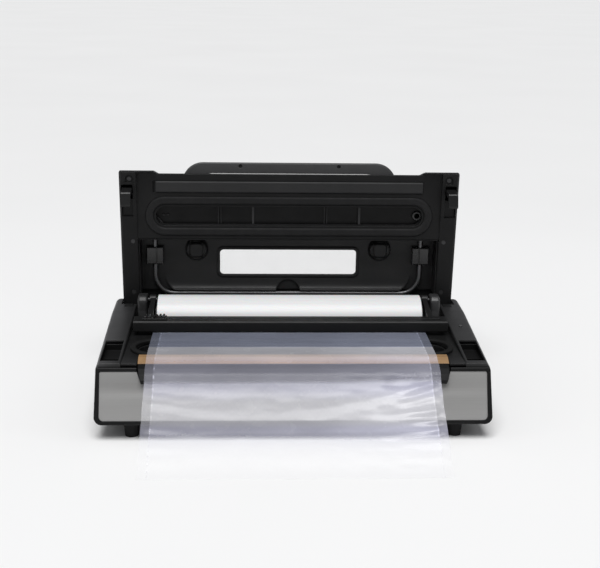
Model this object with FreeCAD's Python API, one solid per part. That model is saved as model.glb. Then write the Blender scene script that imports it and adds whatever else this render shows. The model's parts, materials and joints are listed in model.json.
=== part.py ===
import FreeCAD, Part
import math
import os

# Countertop vacuum sealer, lid standing open, film roll loaded.
# Millimetres, +Z up, +X to the user's right, +Y to the rear.
# Construction datum: film under the front foot of the cutter bar, on the
# centre plane.  OFF moves everything so that the origin is at the middle
# of the footprint, on the table.

os.makedirs("parts", exist_ok=True)
V = FreeCAD.Vector

# ---------------------------------------------------------------- dimensions
DY, DZ = 36.5, 76.0                 # datum to final frame
OFF = V(0, DY, DZ)

BASE_HW_F, BASE_HW_R = 201.9, 203.9  # half width of the casings, front and rear
BEZ_HW_T, BEZ_HW_B = 201.3, 202.6   # half width of the front frame, top and bottom
ARM_IN = 177.0                      # inner wall of the side arms
WALL = 2.5
Z_TABLE, Z_UNDER = -76.0, -58.4
Z_DECK = -3.0
FRONT_TOP = (-95.0, -4.55)          # leaning front face, upper edge
FRONT_BOT = (-116.0, -58.4)         # leaning front face, lower edge
BEZEL_T = 6.0
PANEL_HW, PANEL_H = 197.5, 50.0

HY, HZ = 81.0, -12.0                # lid hinge axis
KNUCKLE_R = 19.5
LID_HW = 194.5
LID_FRONT = -94.5                   # lid measured closed
LID_TOP = 38.0
FLANGE = 4.0                        # underside of the lid plate, closed
OPEN_DEG = 90.0

SY, SZ = -72.0, 17.5                # lock shaft, lid closed
UNLOCK_DEG = 15.0

ROLL_Y, ROLL_Z, ROLL_R, ROLL_HW = 62.0, -5.0, 29.3, 150.0
CORE_R, CORE_T = 20.0, 1.5
FILM_T, FILM_HW = 0.5, 150.0

CUT_Y, CUT_Z = 70.0, 17.0           # cutter frame pivot
BAR_HW = 173.0
BAR_Z0, BAR_Z1 = 1.2, 13.5

CH_HL, CH_R, CH_Y = 166.0, 23.0, -41.5   # vacuum chamber outline (stadium)
CH_YL = -40.6                       # the same outline on the lid
RUN = 0.05                          # radial running clearance


# ------------------------------------------------------------------- helpers
def box(x0, x1, y0, y1, z0, z1):
    return Part.makeBox(x1 - x0, y1 - y0, z1 - z0, V(x0, y0, z0))


def cylx(x0, x1, y, z, r):
    return Part.makeCylinder(r, x1 - x0, V(x0, y, z), V(1, 0, 0))


def cyly(y0, y1, x, z, r):
    return Part.makeCylinder(r, y1 - y0, V(x, y0, z), V(0, 1, 0))


def cylz(z0, z1, x, y, r):
    return Part.makeCylinder(r, z1 - z0, V(x, y, z0), V(0, 0, 1))


def face(pts):
    return Part.Face(Part.makePolygon(pts + [pts[0]]))


def prism_x(pts, x0, x1):
    return face([V(x0, y, z) for y, z in pts]).extrude(V(x1 - x0, 0, 0))


def prism_z(pts, z0, z1):
    return face([V(x, y, z0) for x, y in pts]).extrude(V(0, 0, z1 - z0))


def rrect_z(x0, x1, y0, y1, r, z0, z1):
    b = box(x0, x1, y0, y1, z0, z1)
    e = [k for k in b.Edges if abs(k.tangentAt(k.FirstParameter).z) > 0.99]
    return b.makeFillet(r, e)


def rrect_y(x0, x1, z0, z1, r, y0, y1):
    b = box(x0, x1, y0, y1, z0, z1)
    e = [k for k in b.Edges if abs(k.tangentAt(k.FirstParameter).y) > 0.99]
    return b.makeFillet(r, e)


def stadium(hl, r, y, z0, z1):
    a, b = V(-hl + r, y - r, z0), V(hl - r, y - r, z0)
    c, d = V(hl - r, y + r, z0), V(-hl + r, y + r, z0)
    w = Part.Wire([Part.makeLine(a, b),
                   Part.Arc(b, V(hl, y, z0), c).toShape(),
                   Part.makeLine(c, d),
                   Part.Arc(d, V(-hl, y, z0), a).toShape()])
    return Part.Face(w).extrude(V(0, 0, z1 - z0))


def ring(hl, r, band, y, z0, z1):
    return stadium(hl, r, y, z0, z1).cut(
        stadium(hl - band, r - band, y, z0 - 1, z1 + 1))


def both(s):
    return [s, s.mirror(V(0, 0, 0), V(1, 0, 0))]


def fuse(shapes):
    s = shapes[0]
    if len(shapes) > 1:
        s = s.fuse(shapes[1:])
    return s.removeSplitter()


def cut(s, tools):
    return s.cut(Part.makeCompound(tools)) if len(tools) > 1 else s.cut(tools[0])


def soften(s, r, pick):
    e = [k for k in s.Edges if pick(k)]
    try:
        f = s.makeFillet(r, e)
        if f.isValid() and f.Volume > 0:
            return f
    except Exception:
        pass
    return s


def along(k, axis):
    t = k.tangentAt(k.FirstParameter)
    return abs(getattr(t, axis)) > 0.97 and abs(
        getattr(k.tangentAt(k.LastParameter), axis)) > 0.97


def ribbon(pts, t):
    # closed outline of a strip of thickness t lying on the given path
    n = len(pts)
    up = []
    for i in range(n):
        a, b = pts[max(0, i - 1)], pts[min(n - 1, i + 1)]
        dy, dz = b[0] - a[0], b[1] - a[1]
        l = math.hypot(dy, dz)
        ny, nz = dz / l, -dy / l
        up.append((pts[i][0] + ny * t, pts[i][1] + nz * t))
    return pts + up[::-1]


def to_open(s):
    s = s.copy()
    s.rotate(V(0, HY, HZ), V(1, 0, 0), -OPEN_DEG)
    return s


def to_unlocked(s):
    s = s.copy()
    s.rotate(V(0, SY, SZ), V(1, 0, 0), -UNLOCK_DEG)
    return to_open(s)


NODES = {}


def node(name, shape):
    if isinstance(shape, (list, tuple)):
        shape = Part.makeCompound(list(shape))
    s = shape.copy()
    s.translate(OFF)
    if len(s.Solids) == 1:
        s = s.Solids[0]
    NODES[name] = s


def arm_top(y):
    if y >= 60.0:
        return 7.5
    return -3.2 + (y + 93.0) * (10.7 / 153.0)


def lid_edge(y):
    return arm_top(y) + 1.2


def outer_hw(y):
    return BASE_HW_F + (y - FRONT_BOT[0]) * (BASE_HW_R - BASE_HW_F) / (101.0 - FRONT_BOT[0])


# ------------------------------------------------------------- base: casings
LEAN = math.degrees(math.atan2(FRONT_TOP[0] - FRONT_BOT[0], FRONT_TOP[1] - FRONT_BOT[1]))
BACK = BEZEL_T / math.cos(math.radians(LEAN)) + 0.15
Z_SKIRT = Z_UNDER + 2.9             # lower rim of the shells, on the bottom cover


def front_y(z, d=0.0):
    return FRONT_BOT[0] + (z - FRONT_BOT[1]) * (FRONT_TOP[0] - FRONT_BOT[0]) / (FRONT_TOP[1] - FRONT_BOT[1]) + d


def arm_profile(inset, z_low):
    arc = []
    r = KNUCKLE_R - inset
    for i in range(0, 13):
        a = math.radians(90 - i * 7.5)
        arc.append((HY + r * math.cos(a), HZ + r * math.sin(a)))
    f = front_y(-6.0, BACK + inset)
    p = [(front_y(z_low, BACK + inset), z_low), (f, -6.0),
         (f + 1.5, arm_top(f + 1.5) - inset), (60.0, 7.5 - inset)]
    return p + arc + [(HY + r, z_low)]


ROUND = 6.0                         # radius along the outer shoulder of the arms
CHEEK_IN, CHEEK_Y, CHEEK_R = 195.2, 104.0, 12.0      # cheeks beside the standing lid
plan = [(ARM_IN, -120), (outer_hw(-120), -120), (outer_hw(120), 120), (ARM_IN, 120)]
plan_in = [(ARM_IN + WALL, -130), (outer_hw(-130) - WALL, -130),
           (outer_hw(110) - WALL, 110), (ARM_IN + WALL, 110)]


def cheek_face(x):
    f = front_y(-6.0, BACK)
    zc = arm_top(60.0) - CHEEK_R
    h = CHEEK_R * math.sqrt(0.5)
    p = [V(x, y, z) for y, z in ((front_y(Z_SKIRT, BACK), Z_SKIRT), (f, -6.0), (f + 1.5, arm_top(f + 1.5)), (60.0, arm_top(60.0)), (CHEEK_Y, arm_top(60.0)))]
    q = [V(x, y, z) for y, z in ((CHEEK_Y + CHEEK_R, zc), (113.5, -13.0), (HY + KNUCKLE_R, -32.0), (HY + KNUCKLE_R, Z_SKIRT))]
    e = [Part.makeLine(m, n) for m, n in zip(p, p[1:])]
    e.append(Part.Arc(p[-1], V(x, CHEEK_Y + h, zc + h), q[0]).toShape())
    e += [Part.makeLine(m, n) for m, n in zip(q, q[1:] + p[:1])]
    return Part.Face(Part.Wire(e))


arm = cheek_face(ARM_IN).extrude(V(30, 0, 0)).common(prism_z(plan, -70, 20))
arm = soften(arm, ROUND, lambda k: k.BoundBox.XMin > 190 and k.BoundBox.ZMin > -8 and k.BoundBox.YLength > 10)
arm = soften(arm, 1.2, lambda k: abs(k.CenterOfMass.x - ARM_IN) < 0.1 and k.BoundBox.ZMin > -8 and k.BoundBox.YLength > 60)
knuckle = prism_x(arm_profile(0, Z_SKIRT - 1), ARM_IN - 5, 210)
arm = arm.cut(box(ARM_IN - 2, CHEEK_IN, HY, 130, -70, 20).cut(knuckle))
hollow = prism_x(arm_profile(WALL, Z_SKIRT - 5), ARM_IN, 206).common(prism_z(plan_in, -80, 20))
hollow = soften(hollow, ROUND - WALL, lambda k: k.BoundBox.XMin > 188 and k.BoundBox.ZMin > -10 and k.BoundBox.YLength > 60)
arm = arm.cut(hollow)
posts = [cylz(Z_SKIRT, -30, 182.6, y, 4.0).common(box(ARM_IN, 190, -120, 110, -60, 0))
         for y in (-30.0, 48.0)]
keeper = fuse([box(WALL + ARM_IN - 0.5, 200.6, -54.2, -25.0, -13.1, -10.1), box(WALL + ARM_IN - 0.5, 200.6, -27.0, -25.0, -24.0, -3.4)])
arm = fuse([arm, keeper.common(prism_z(plan, -70, 20))] + posts)
arm = cut(arm, [box(179.7, 198.8, -80.5, -27.0, -8.0, 12),
                cylx(180.5, 190.5, HY, HZ, 20.6),
                cylx(170, 205, HY, HZ, 4.0),
                cylz(-60, -36, 182.6, -30.0, 1.5),
                cylz(-60, -36, 182.6, 48.0, 1.5)])
arm_l = arm.mirror(V(0, 0, 0), V(1, 0, 0))
PLX, PLY = 189.6, 13.0              # lid switch plunger
arm_r = arm.cut(cylz(-12, 12, PLX, PLY, 2.0 + RUN))
node("right_side_casing", arm_r)
node("left_side_casing", arm_l)

# ---------------------------------------------------------------- base: deck
DK = 176.9
deck = fuse([box(-DK, DK, -69.0, 20.0, -6.0, Z_DECK),
             box(-DK, -160.5, -88.0, -69.0, -6.0, Z_DECK),
             box(160.5, DK, -88.0, -69.0, -6.0, Z_DECK),
             stadium(CH_HL + 1.5, CH_R + 1.5, CH_Y, -18.5, -6.0)])
deck = cut(deck, [stadium(CH_HL - 1.0, CH_R - 1.0, CH_Y, -16.5, 0),
                  cylz(-20, 0, 140.0, CH_Y, 3.0),
                  cylz(-20, 0, -140.0, CH_Y, 3.0)])
node("chamber_deck", deck)
node("lower_gasket", soften(ring(CH_HL + 5.5, CH_R + 2.0, 6.0, CH_Y, Z_DECK, 0.2), 1.4, lambda k: k.BoundBox.ZMin > 0.1))
tray = stadium(CH_HL - 1.6, CH_R - 1.6, CH_Y, -16.3, -5.2).cut(
    stadium(CH_HL - 3.0, CH_R - 3.0, CH_Y, -15.0, 0))
tray = cut(tray, [cylz(-20, 0, 140.0, CH_Y, 3.0), cylz(-20, 0, -140.0, CH_Y, 3.0)])
node("drip_tray", fuse([tray] + both(box(60.0, 66.0, CH_Y - 21.0, CH_Y - 18.0, -8.0, -4.0).common(
    stadium(CH_HL - 1.6, CH_R - 1.6, CH_Y, -10, 0)))))

# sealing bar, element and tape
bar_top = [(-69.0, -0.2), (-76.6, -0.2), (-85.8, -4.0)]
hb = prism_x([(-69.0, -14.0)] + bar_top + [(-85.8, -14.0)], -159.8, 159.8)
hb = hb.cut(box(-156.0, 156.0, -75.6, -71.4, -0.6, 1.0))
node("heater_bar", hb)
node("heating_element", box(-156.0, 156.0, -75.6, -71.4, -0.6, -0.2))
node("ptfe_tape", prism_x(ribbon(bar_top, 0.35), -159.8, 159.8))

# ramp and lip over the front panel
ramp_top = [(-86.1, -4.4), (-94.0, -6.0), (-101.0, -10.0), (-105.0, -15.2), (-104.6, -18.8)]
ramp_in = [(-101.4, -18.8), (-101.8, -16.0), (-99.0, -12.6), (-93.2, -9.0), (-86.1, -7.6)]
NT, NB = 159.0, 155.0               # half width of the lip, upper and lower
lip = prism_x(ramp_top + ramp_in, -160.3, 160.3)
wedge = face([V(-NT, -130, -6.0), V(-NB, -130, -18.8), V(NB, -130, -18.8), V(NT, -130, -6.0),
              V(160.3, -130, 2), V(-160.3, -130, 2)]).extrude(V(0, 60, 0))
ramp = lip.common(wedge)
node("film_ramp", ramp)

# leaning front frame with the steel panel let into it
def lean(s):
    s = s.copy()
    s.rotate(V(0, 0, 0), V(1, 0, 0), -LEAN)
    s.translate(V(0, FRONT_BOT[0], FRONT_BOT[1]))
    return s


H_F = math.hypot(FRONT_TOP[0] - FRONT_BOT[0], FRONT_TOP[1] - FRONT_BOT[1])
V_NOTCH = (-18.8 - FRONT_BOT[1]) / math.cos(math.radians(LEAN)) - 0.5
trap = face([V(-NT - 1, -5, H_F + 3), V(-NT - 1, -5, H_F - 4), V(-NB - 0.6, -5, V_NOTCH),
             V(NB + 0.6, -5, V_NOTCH), V(NT + 1, -5, H_F - 4), V(NT + 1, -5, H_F + 3)]).extrude(V(0, 40, 0))


def corners(s, r_top, r_bot):
    s = s.makeFillet(r_top, [k for k in s.Edges if along(k, "y") and k.CenterOfMass.z > H_F / 2])
    return s.makeFillet(r_bot, [k for k in s.Edges if along(k, "y") and k.CenterOfMass.z < H_F / 2])


bez = face([V(-BEZ_HW_B, 0, 0), V(BEZ_HW_B, 0, 0), V(BEZ_HW_T, 0, H_F), V(-BEZ_HW_T, 0, H_F)]).extrude(V(0, BEZEL_T, 0))
bez = corners(bez, 3.0, 8.0)
bez = soften(bez, 1.2, lambda k: k.BoundBox.YMax < 0.01)
bez = cut(bez, [corners(box(-PANEL_HW, PANEL_HW, -1, 2.2, 3.9, 3.9 + PANEL_H), 2.0, 5.0), trap])
node("front_bezel", lean(bez))
pan = corners(box(-PANEL_HW + 0.1, PANEL_HW - 0.1, 0.7, 2.2, 4.0, 3.8 + PANEL_H), 1.9, 4.9).cut(trap)
node("front_panel", lean(pan))

# roll bay, a trough across the rear
bay = box(-DK, DK, 17.5, 96.0, -40.5, -6.0).cut(box(-DK + 2, DK - 2, 20.0, 93.5, -38.0, 0))
bay = bay.cut(box(-200, 200, 93.0, 97.0, -14.0, 0))
node("roll_bay", bay)

rc = box(-DK, DK, 96.0, 99.0, Z_SKIRT, -14.0)
rc = cut(rc, [cyly(90, 105, 120.0, -47.0, 6.5)] +
         [box(x, x + 3.0, 90, 105, -50.0, -30.0) for x in range(-60, 61, 8)])
node("rear_cover", rc)
gl = fuse([cyly(94.0, 99.0, 120.0, -47.0, 6.5), cyly(99.0, 101.0, 120.0, -47.0, 8.5)])
node("cord_inlet", gl.cut(cyly(90, 110, 120.0, -47.0, 3.5)))

# bottom cover, feet and screws
bc = prism_z([(-200.6, front_y(Z_UNDER, BACK)), (200.6, front_y(Z_UNDER, BACK)), (202.2, 99.0), (-202.2, 99.0)],
             Z_UNDER, Z_SKIRT)
bc = bc.common(prism_x([(front_y(Z_UNDER, BACK), Z_UNDER), (front_y(Z_SKIRT, BACK), Z_SKIRT),
                        (99.0, Z_SKIRT), (99.0, Z_UNDER)], -210, 210))
scr_xy = [(sx * 182.6, y) for sx in (-1, 1) for y in (-30.0, 48.0)]
scr = [fuse([cylz(Z_UNDER + 0.4, Z_UNDER + 2.2, x, y, 3.2), cylz(Z_UNDER + 2.2, -36.0, x, y, 1.5)])
       for x, y in scr_xy]
bc = cut(bc, [cylz(Z_UNDER - 1, Z_UNDER + 2.2, x, y, 3.2) for x, y in scr_xy] +
         [cylz(Z_UNDER - 1, Z_SKIRT + 1, x, y, 1.5) for x, y in scr_xy] +
         [box(x, x + 2.5, -20, 20, -70, -50) for x in range(-110, -60, 7)])
node("bottom_cover", bc)
node("bottom_screws", scr)
feet = []
for x in (-166.0, 166.0):
    for y in (-99.0, 84.0):
        feet.append(Part.makeCone(7.0, 8.5, Z_UNDER - Z_TABLE, V(x, y, Z_TABLE)))
node("feet", feet)

# -------------------------------------------------- base: works under the deck
node("pump_motor", fuse([cylx(-12.0, 52.0, -40.0, -37.0, 17.0), cylx(-18.0, -12.0, -40.0, -37.0, 6.0),
                         box(-6.0, 46.0, -54.0, -26.0, Z_SKIRT, -45.0)]))
vp = soften(box(52.0, 96.0, -60.0, -20.0, Z_SKIRT, -20.0), 3.0, lambda k: along(k, "x"))
vp = fuse([vp, cylx(96.0, 106.0, CH_Y, -40.0, 3.4)])
node("vacuum_pump", vp)
nip = cylz(-30.0, -18.5, 140.0, CH_Y, 3.0)
hose_w = Part.Wire([Part.makeLine(V(106.0, CH_Y, -40.0), V(126.0, CH_Y, -40.0)),
                    Part.Arc(V(126.0, CH_Y, -40.0), V(126 + 14 * math.sin(math.pi / 4), CH_Y, -26 - 14 * math.cos(math.pi / 4)),
                             V(140.0, CH_Y, -26.0)).toShape(),
                    Part.makeLine(V(140.0, CH_Y, -26.0), V(140.0, CH_Y, -18.5))])
prof = Part.Wire([Part.makeCircle(4.2, V(106.0, CH_Y, -40.0), V(1, 0, 0))])
hose = hose_w.makePipeShell([prof], True, False)
node("pump_hose", hose)
node("vent_valve", fuse([cylz(-46.0, -22.0, -140.0, CH_Y, 10.0), cylz(-22.0, -18.5, -140.0, CH_Y, 5.0),
                         box(-152.0, -128.0, CH_Y - 12.0, CH_Y + 12.0, Z_SKIRT, -46.0)]))
node("transformer", fuse([box(-118.0, -66.0, -64.0, -16.0, Z_SKIRT, -50.0),
                          box(-112.0, -72.0, -60.0, -20.0, -50.0, -22.0),
                          box(-104.0, -80.0, -66.0, -14.0, -46.0, -26.0)]))
node("power_board", fuse([box(-56.0, -24.0, -66.0, -10.0, -48.0, -46.4)] +
                         [cylz(Z_SKIRT, -48.0, x, y, 2.5) for x in (-52.0, -28.0) for y in (-62.0, -14.0)] +
                         [box(-50.0, -38.0, -58.0, -46.0, -46.4, -34.0), cylz(-46.4, -30.0, -34.0, -28.0, 5.0)]))
node("lid_switch", fuse([box(184.0, 195.0, PLY - 10.0, PLY + 10.0, -24.0, -13.0), box(PLX - 1, PLX + 1, PLY - 1, PLY + 1, -13.0, -12.2),
                         box(179.5, 184.0, PLY - 8.0, PLY + 8.0, -22.0, -15.0)]))
node("lid_switch_plunger", fuse([cylz(-10.6, arm_top(PLY) + 0.8, PLX, PLY, 2.0), cylz(-2.0, arm_top(PLY - 3.4) - WALL - 0.3, PLX, PLY, 3.4)]))

pins = both(cylx(177.0, 194.0, HY, HZ, 4.0))
node("hinge_pins", pins)

# ------------------------------------------------------- roll stands and roll
UP0, UP1 = 162.4, 173.6
stand = prism_x([(50.0, -38.0), (82.0, -38.0), (79.0, -10.0), (79.0, 18.0)] +
                [(73.0 + 6.0 * math.cos(math.radians(a)), 18.0 + 6.0 * math.sin(math.radians(a))) for a in (30, 60, 90)] +
                [(66.0 - 9.0 * math.sin(math.radians(a)), 15.0 + 9.0 * math.cos(math.radians(a))) for a in (0, 15, 30, 45, 60, 75)] +
                [(56.0, 8.0), (53.0, -2.0), (52.0, -10.0)], UP0, UP1)
stand = soften(stand, 2.6, lambda k: k.BoundBox.ZMin > -12 and k.BoundBox.XLength < 0.1)
fins = [box(x, x + 0.9, 55.0, 76.0, -38.0, 9.0) for x in (160.8,)] + [box(160.8, UP0 + 3.0, 64.0, 66.0, -38.0, 8.0)]
stand = fuse([stand] + fins)
stand = cut(stand, [cylx(159.0, UP1 - 2.0, ROLL_Y, ROLL_Z, 5.0 + RUN), cylx(159.0, UP1 - 1.5, CUT_Y, CUT_Z, 2.5)])
node("roll_stand_right", stand)
node("roll_stand_left", stand.mirror(V(0, 0, 0), V(1, 0, 0)))
node("cutter_pivot_pins", both(cylx(152.0, UP1 - 1.5, CUT_Y, CUT_Z, 2.5)))

node("film_roll", cylx(-ROLL_HW, ROLL_HW, ROLL_Y, ROLL_Z, ROLL_R).cut(
    cylx(-ROLL_HW - 1, ROLL_HW + 1, ROLL_Y, ROLL_Z, CORE_R)))
node("roll_core", cylx(-ROLL_HW, ROLL_HW, ROLL_Y, ROLL_Z, CORE_R).cut(
    cylx(-ROLL_HW - 1, ROLL_HW + 1, ROLL_Y, ROLL_Z, CORE_R - CORE_T)))
plug = fuse([cylx(126.0, ROLL_HW, ROLL_Y, ROLL_Z, CORE_R - CORE_T), cylx(ROLL_HW, 151.5, ROLL_Y, ROLL_Z, 26.0),
             cylx(151.5, 160.0, ROLL_Y, ROLL_Z, 11.0), cylx(160.0, UP1 - 2.6, ROLL_Y, ROLL_Z, 5.0)])
plug = plug.cut(cylx(120.0, 147.0, ROLL_Y, ROLL_Z, CORE_R - CORE_T - 2.0))
node("roll_plug_right", plug)
node("roll_plug_left", plug.mirror(V(0, 0, 0), V(1, 0, 0)))

# ------------------------------------------------------------------- film web
fr = ROLL_R + FILM_T + 0.6          # the web leaves the roll from below
lead = (21.5, -1.8)
dl = math.hypot(ROLL_Y - lead[0], ROLL_Z - lead[1])
tang = 180.0 - math.degrees(math.atan2(lead[1] - ROLL_Z, ROLL_Y - lead[0])) + math.degrees(math.acos(fr / dl))
film_path = [(ROLL_Y + fr * math.cos(math.radians(tang + a)), ROLL_Z + fr * math.sin(math.radians(tang + a)))
             for a in (28, 21, 14, 7, 0)]
film_path += [lead, (18.5, -0.3), (13.0, 0.2), (0.0, 0.25), (-18.0, 0.55),
              (-68.0, 0.6), (-77.4, 0.6), (-86.6, -3.3), (-94.4, -5.1), (-101.9, -9.3), (-106.4, -15.2),
              (-112.0, -19.6), (-143.0, -41.4), (-161.5, -51.6), (-180.0, -62.6), (-192.0, -70.6),
              (-198.0, -74.2), (-205.0, -75.7)]
film = prism_x(ribbon(film_path, FILM_T), -FILM_HW, FILM_HW)
node("film_web", film)

# --------------------------------------------------------------------- cutter
SLOT0, SLOT1 = 8.0, 11.0            # guide slot across the cutter bar
barp = [(0.8, BAR_Z0), (20.0, BAR_Z0), (20.0, BAR_Z1 - 1.0), (19.0, BAR_Z1)] + [
    (2.6 - 2.6 * math.sin(math.radians(a)), BAR_Z1 - 2.6 + 2.6 * math.cos(math.radians(a))) for a in (0, 15, 30, 45, 60, 75, 90)] + [(0.0, BAR_Z0 + 0.8)]
cf = prism_x(barp, -BAR_HW, BAR_HW)
armp = [(14.0, 3.5), (24.0, 3.5), (62.0, 12.4), (70.0, 13.6), (70.0, 21.4), (64.0, 20.4), (24.0, 14.5), (14.0, 13.4)]
c_arm = fuse([prism_x(armp, 153.2, 158.6), cylx(153.2, 160.4, CUT_Y, CUT_Z, 6.0)] +
             [box(158.2, 159.4, y, y + 2.0, 9.0 + 0.2 * (y - 28.0), 13.0 + 0.2 * (y - 28.0)) for y in (28.0, 34.0, 40.0, 46.0)])
cf = fuse([cf] + both(c_arm))
cf = cut(cf, [box(-166.0, 166.0, SLOT0, SLOT1, -1.0, 20.0),
              box(-166.0, 166.0, SLOT0 - 2.0, SLOT1 + 2.0, 5.0, 8.5),
              cylx(150.0, 163.0, CUT_Y, CUT_Z, 2.5 + RUN), cylx(-163.0, -150.0, CUT_Y, CUT_Z, 2.5 + RUN)])
node("cutter_frame", cf)
S0, S1 = -163.0, -137.0             # cutter slider, parked at the left
sl = fuse([box(S0, S1, 3.6, 16.4, BAR_Z1 + 0.3, BAR_Z1 + 1.8), box(S0 + 3, S1 - 3, SLOT0 + 0.15, SLOT1 - 0.15, 6.2, BAR_Z1 + 1.0),
           box(S0 + 3, S1 - 3, SLOT0 - 1.6, SLOT1 + 1.6, 5.4, 8.1)] +
          [soften(box(x, x + 2.2, 4.6, 15.4, BAR_Z1 + 1.7, BAR_Z1 + 4.2), 0.7, lambda k: k.BoundBox.ZMin > BAR_Z1 + 4.1) for x in (-161.0, -157.2, -145.0, -141.2)] +
          [prism_z([(-153.8, 4.6), (-151.0, 4.6), (-146.8, 15.4), (-149.6, 15.4)], BAR_Z1 + 1.7, BAR_Z1 + 3.4)])
sl = sl.cut(box(-154.0, -146.0, 9.2, 9.8, 0, 9.0))
node("cutter_slider", sl)
node("cutter_blade", face([V(-154.0, 9.2, 9.0), V(-146.0, 9.2, 9.0), V(-146.0, 9.2, 5.0), V(-149.0, 9.2, 1.6),
                           V(-151.0, 9.2, 1.6), V(-154.0, 9.2, 5.0)]).extrude(V(0, 0.6, 0)))

# ------------------------------------------------------------ lid (as closed)
cov_out = [(LID_FRONT, lid_edge(LID_FRONT)), (-93.6, 3.0), (-92.0, 8.0), (-89.8, 13.0), (-86.0, 19.0), (-80.0, 24.5),
           (-56.0, 34.6), (-49.0, 37.0), (-42.0, LID_TOP),
           (70.0, LID_TOP), (82.0, 36.5), (91.0, 31.5), (97.0, 22.0), (99.0, 12.0), (99.0, 8.7), (60.0, 8.7)]
cov_in = [(-92.2, -12.0), (-92.2, 0.5), (-91.6, 3.0), (-89.9, 8.4), (-87.9, 13.4), (-84.5, 18.0), (-78.9, 22.4), (-55.2, 32.2), (-48.4, 34.5), (-41.8, 35.5),
          (69.6, 35.5), (81.0, 34.1), (89.2, 29.6), (94.7, 21.0), (96.6, 11.6), (96.6, -12.0)]
lid_in_hw = LID_HW - 2.2
cover = prism_x(cov_out, -LID_HW, LID_HW)
cover = soften(cover, 3.0, lambda k: abs(abs(k.CenterOfMass.x) - LID_HW) < 0.1 and k.BoundBox.ZMin > 14)
cover = cover.cut(prism_x(cov_in, -lid_in_hw, lid_in_hw))
MOUTH = 125.0
BTN = [("start_button", 72.0), ("stop_button", 98.0), ("mode_button", 124.0)]
BY0, BY1 = -33.0, -23.0
cover = cut(cover, [box(-MOUTH, MOUTH, -100, -60.0, -12, 60), 
                    prism_z([(-157.0, -100.0), (-156.0, -94.4), (-152.5, -89.6), (-150.0, -87.6), (150.0, -87.6),
                             (152.5, -89.6), (156.0, -94.4), (157.0, -100.0)], -12, 60),
                    rrect_z(-86.0, 86.0, 0.0, 41.0, 6.0, 30, 50)] +
            [rrect_z(x - 8.3, x + 8.3, BY0 - 0.3, BY1 + 0.3, 2.3, 30, 50) for _, x in BTN] +
            [box(-89.0, 89.0, -3.0, 44.0, 37.0, 50), cylz(30, 50, 146.0, -28.0, 2.0)])
cover = fuse([cover] + [cylz(31.2, 36.0, x, y, 2.4) for x in (58.0, 154.0) for y in (-36.5, -19.5)])
corner = box(191.5, 200.0, -100.0, -91.5, -12, 60).cut(cylz(-13, 61, 191.5, -91.5, 3.0))
cover = cut(cover, both(corner))
node("lid_cover", to_open(cover))
node("window_pane", to_open(fuse([rrect_z(-88.9, 88.9, -2.9, 43.9, 1.0, 37.0, LID_TOP),
                                  rrect_z(-85.9, 85.9, 0.1, 40.9, 5.9, 35.5, 37.0)])))

FHW = lid_in_hw - 0.1
rail_p = [(-92.1, lid_edge(-92.1)), (60.0, 8.7), (96.3, 8.7), (96.3, 12.4), (95.4, 16.0), (-87.6, 12.0), (-91.2, 3.2)]
rail_i = [(-89.6, lid_edge(-89.6) + 2.4), (60.0, 11.1), (93.9, 11.1), (93.9, 30.0), (-89.6, 30.0)]
rail = prism_x(rail_p, 175.4, FHW).cut(prism_x(rail_i, 178.0, FHW - 2.2))
rail = rail.cut(cylx(170, 200, SY, SZ, 4.6))
ear = fuse([cylx(181.0, 190.0, HY, HZ, 20.0), box(181.0, 190.0, HY - 4.0, HY + 4.0, HZ + 15.0, 11.0)])
brk = [box(a, a + 4.0, SY - 6.0, SY + 7.0, 8.0, 22.5) for a in (126.0, 170.0)]
pad = box(177.0, FHW - 1.0, -90.0, -79.4, lid_edge(-84.6) + 0.6, lid_edge(-84.6) + 6.5)      # around the front screws
floor = box(178.0, FHW, -60.5, -38.0, 4.6, 7.0)                                              # closes the hook pocket behind the hook
half = [rail, ear, pad, floor] + brk
mir = [h.mirror(V(0, 0, 0), V(1, 0, 0)) for h in half]
plate = prism_z([(-176.0, -91.0), (-154.0, -91.0), (-151.6, -89.4), (151.6, -89.4), (154.0, -91.0), (176.0, -91.0),
                 (176.0, -14.0), (-176.0, -14.0)], FLANGE, 8.4)
plate = plate.cut(prism_x([(-91.0, 4.6), (-89.6, 8.5), (-95.0, 8.5), (-95.0, 4.6)], -177.0, 177.0))
frame = fuse([plate] + half + mir)
POCK = 2.2


def sink(y):
    return POCK - 0.8 if y < -50 else 0.2


LSCR = [(183.0, -84.6), (181.0, -10.5), (182.0, 51.4), (-183.0, -84.6), (-181.0, -10.5), (-182.0, 51.4)]
tools = both(box(179.5, 200.0, -77.5, -60.5, -12, 9.4)) + both(box(179.5, 200.0, -60.5, -40.5, -12, 4.6)) + both(box(179.5, 200.0, -80.6, -61.0, 9.4, 30)) + [
         cylx(-200, 200, HY, HZ, 4.0 + RUN), cylx(-176.0, 176.0, SY, SZ, 4.0 + RUN),
         box(-156.8, 154.0, -81.6, -68.0, 0, 6.5),
         ring(CH_HL + 0.1, CH_R + 0.1, 9.6, CH_YL, 0, 7.0),
         stadium(CH_HL - 12.0, CH_R - 12.0, CH_YL, 0, 12.0)]
for x, y in LSCR[0], LSCR[3]:       # arched pockets around the front screws
    tools += [cylz(lid_edge(y) - 3, lid_edge(y) + POCK, x, y, 4.6), box(x - 4.6, x + 4.6, y, y + 4.6, lid_edge(y) - 3, lid_edge(y) + POCK)]
tools += [cylz(lid_edge(y) - 3, lid_edge(y) + sink(y) + 1.0, x, y, 2.6) for x, y in LSCR]
tools += [cylz(lid_edge(y) - 3, lid_edge(y) + 9, x, y, 1.4) for x, y in LSCR]
frame = cut(frame, tools)
node("lid_frame", to_open(frame))
node("lid_screws", [to_open(fuse([cylz(lid_edge(y) + sink(y), lid_edge(y) + sink(y) + 1.0, x, y, 2.6),
                                  cylz(lid_edge(y) + sink(y) + 1.0, lid_edge(y) + 8.0, x, y, 1.4)])) for x, y in LSCR])
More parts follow.
